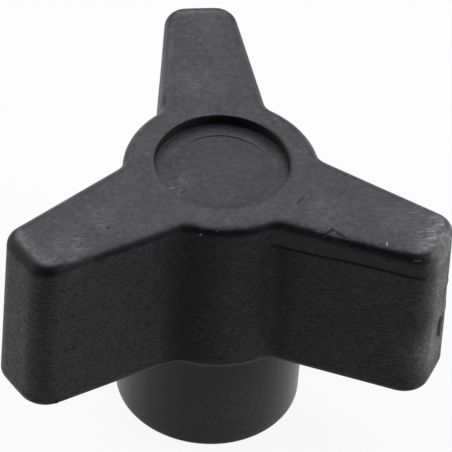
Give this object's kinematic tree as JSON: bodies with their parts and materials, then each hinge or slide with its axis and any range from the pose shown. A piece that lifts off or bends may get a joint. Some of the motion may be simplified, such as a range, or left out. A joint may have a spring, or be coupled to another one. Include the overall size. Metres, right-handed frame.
{
  "type": "star knob",
  "caption": "Three-arm star knob in black glass-filled nylon: tapered hollow arms on a round hub with a recessed top, on a round boss with a moulded-in blind threaded brass insert.",
  "frame": {"origin": "centre of the boss's end face, on the thread's axis", "axes": "+Z along the thread's axis, from the boss to the top of the knob; +Y along the first arm"},
  "size_m": [0.0732, 0.0647, 0.0516],
  "materials": {
    "body": "black glass-filled nylon, matt, with a fine spark-eroded grain on the walls and light scuffs",
    "insert": "turned brass"
  },
  "bodies": {
    "root": {"knob_body": "body", "threaded_insert": "insert"}
  },
  "joints": []
}
